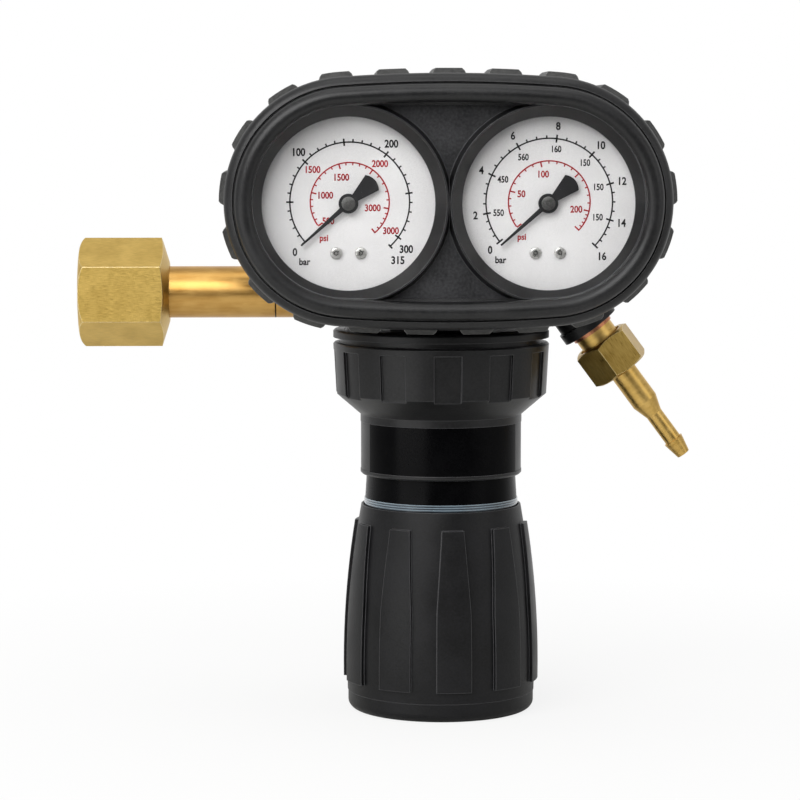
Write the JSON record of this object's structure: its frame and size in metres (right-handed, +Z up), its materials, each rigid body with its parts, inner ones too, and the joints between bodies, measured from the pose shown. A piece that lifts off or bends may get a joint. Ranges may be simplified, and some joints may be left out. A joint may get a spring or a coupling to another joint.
{
  "type": "pressure regulator",
  "caption": "Gas cylinder pressure regulator: hexagon inlet nut, twin dial gauges in a rubber bumper, pocketed bonnet, large ribbed adjusting knob and angled hose-tail outlet.",
  "frame": {"origin": "on the inlet axis, where the thread in the mouth of the inlet nut starts", "axes": "+X along the inlet axis into the regulator, -Y out of the dials, +Z up, away from the knob"},
  "size_m": [0.2083, 0.0989, 0.2184],
  "materials": {
    "brass_nut": "brushed brass, satin",
    "brass_polished": "turned and polished brass",
    "brass_forged": "forged and blasted brass",
    "brass_inner": "machined brass",
    "black_casting": "satin black paint",
    "black_plastic": "satin moulded plastic",
    "panel_plastic": "fine-grained moulded plastic",
    "label_film": "smooth bare band",
    "clear_plastic": "translucent grey-blue",
    "bumper_rubber": "matt moulded rubber",
    "inner_rubber": "fabric-backed rubber",
    "copper": "annealed copper",
    "steel": "bright steel",
    "spring_steel": "oiled spring steel",
    "light_alloy": "machined light alloy",
    "filter_bronze": "sintered bronze",
    "case_steel": "black enamelled steel",
    "dial_white": "matt white enamel",
    "pointer_black": "matt black enamel",
    "window_clear": "clear",
    "gauge_brass": "machined brass"
  },
  "bodies": {
    "regulator": {"regulator_body": "brass_forged", "body_collar": "black_plastic", "bonnet": "black_casting", "label_band": "label_film", "gas_ring": "black_plastic", "clear_ring": "clear_plastic", "screw_bush": "brass_inner", "valve_seat": "brass_inner", "valve_cap": "brass_forged", "return_spring": "spring_steel", "diaphragm": "inner_rubber", "slip_washer": "steel", "main_spring": "spring_steel", "inlet_nipple": "brass_polished", "inlet_seal": "inner_rubber", "inlet_filter": "filter_bronze", "bumper": "bumper_rubber", "gauge_panel": "panel_plastic", "outlet_collar": "black_plastic", "copper_washer": "copper", "outlet_adapter": "brass_polished", "inlet_gauge_case": "case_steel", "inlet_gauge_socket": "gauge_brass", "inlet_gauge_bourdon_tube": "gauge_brass", "inlet_gauge_movement_frame": "gauge_brass", "inlet_gauge_dial": "dial_white", "inlet_gauge_window": "window_clear", "outlet_gauge_case": "case_steel", "outlet_gauge_socket": "gauge_brass", "outlet_gauge_bourdon_tube": "gauge_brass", "outlet_gauge_movement_frame": "gauge_brass", "outlet_gauge_dial": "dial_white", "outlet_gauge_window": "window_clear"},
    "inlet_nut": {"inlet_nut": "brass_nut"},
    "valve_train": {"diaphragm_plate": "light_alloy", "stud_nut": "brass_inner", "push_pin": "steel", "poppet": "brass_inner"},
    "spring_button": {"spring_button": "steel"},
    "knob": {"knob": "black_plastic", "knob_cap": "black_plastic", "adjusting_screw": "steel"},
    "hose_tail": {"hose_tail": "brass_polished"},
    "outlet_nut": {"outlet_nut": "brass_polished"},
    "inlet_pointer": {"inlet_gauge_pointer": "pointer_black", "inlet_gauge_pinion": "gauge_brass"},
    "inlet_sector": {"inlet_gauge_sector_gear": "gauge_brass"},
    "inlet_link": {"inlet_gauge_link": "gauge_brass"},
    "outlet_pointer": {"outlet_gauge_pointer": "pointer_black", "outlet_gauge_pinion": "gauge_brass"},
    "outlet_sector": {"outlet_gauge_sector_gear": "gauge_brass"},
    "outlet_link": {"outlet_gauge_link": "gauge_brass"}
  },
  "joints": [
    {"name": "inlet_nut_spin", "type": "hinge", "parent": "regulator", "child": "inlet_nut", "pos_m": [0.015, 0, 0], "axis": [1, 0, 0], "continuous": true},
    {"name": "valve_lift", "type": "slide", "parent": "regulator", "child": "valve_train", "axis": [0, 0, 1], "range_m": [0, 0.0008], "stiffness_N_per_m": 2000, "springref_m": -0.002, "deforming": ["diaphragm", "return_spring"]},
    {"name": "button_lift", "type": "slide", "parent": "regulator", "child": "spring_button", "axis": [0, 0, 1], "range_m": [0, 0.009], "deforming": ["main_spring"]},
    {"name": "knob_turn", "type": "hinge", "parent": "spring_button", "child": "knob", "pos_m": [0.1224, 0, -0.105], "axis": [0, 0, 1], "range_deg": [0, 2160]},
    {"name": "tail_pull", "type": "slide", "parent": "regulator", "child": "hose_tail", "axis": [0.5948, 0, -0.8039], "range_m": [0, 0.0075]},
    {"name": "outlet_nut_turn", "type": "hinge", "parent": "hose_tail", "child": "outlet_nut", "pos_m": [0.17687, 0, -0.01672], "axis": [0.5948, 0, -0.8039], "range_deg": [0, 1800]},
    {"name": "inlet_pointer_turn", "type": "hinge", "parent": "regulator", "child": "inlet_pointer", "pos_m": [0.09, -0.045, 0.0313], "axis": [0, 1, 0], "range_deg": [0, 270], "stiffness_Nm_per_rad": 0.0005, "springref_deg": -28.65},
    {"name": "inlet_sector_turn", "type": "hinge", "parent": "regulator", "child": "inlet_sector", "pos_m": [0.09, -0.039, 0.01775], "axis": [0, 1, 0], "range_deg": [-33.8, 0]},
    {"name": "inlet_link_swing", "type": "hinge", "parent": "inlet_sector", "child": "inlet_link", "pos_m": [0.09766, -0.037, 0.01541], "axis": [0, 1, 0], "range_deg": [0, 33.8]},
    {"name": "outlet_pointer_turn", "type": "hinge", "parent": "regulator", "child": "outlet_pointer", "pos_m": [0.1548, -0.045, 0.0313], "axis": [0, 1, 0], "range_deg": [0, 270], "stiffness_Nm_per_rad": 0.0005, "springref_deg": -28.65},
    {"name": "outlet_sector_turn", "type": "hinge", "parent": "regulator", "child": "outlet_sector", "pos_m": [0.1548, -0.039, 0.01775], "axis": [0, 1, 0], "range_deg": [-33.8, 0]},
    {"name": "outlet_link_swing", "type": "hinge", "parent": "outlet_sector", "child": "outlet_link", "pos_m": [0.16246, -0.037, 0.01541], "axis": [0, 1, 0], "range_deg": [0, 33.8]}
  ],
  "couplings": [
    {"joint": "knob_turn", "follows": "button_lift", "rad_per_m": 4188.8},
    {"joint": "outlet_nut_turn", "follows": "tail_pull", "rad_per_m": 4188.8},
    {"joint": "inlet_sector_turn", "follows": "inlet_pointer_turn", "ratio": -0.125},
    {"joint": "inlet_link_swing", "follows": "inlet_pointer_turn", "ratio": 0.125},
    {"joint": "outlet_sector_turn", "follows": "outlet_pointer_turn", "ratio": -0.125},
    {"joint": "outlet_link_swing", "follows": "outlet_pointer_turn", "ratio": 0.125}
  ]
}
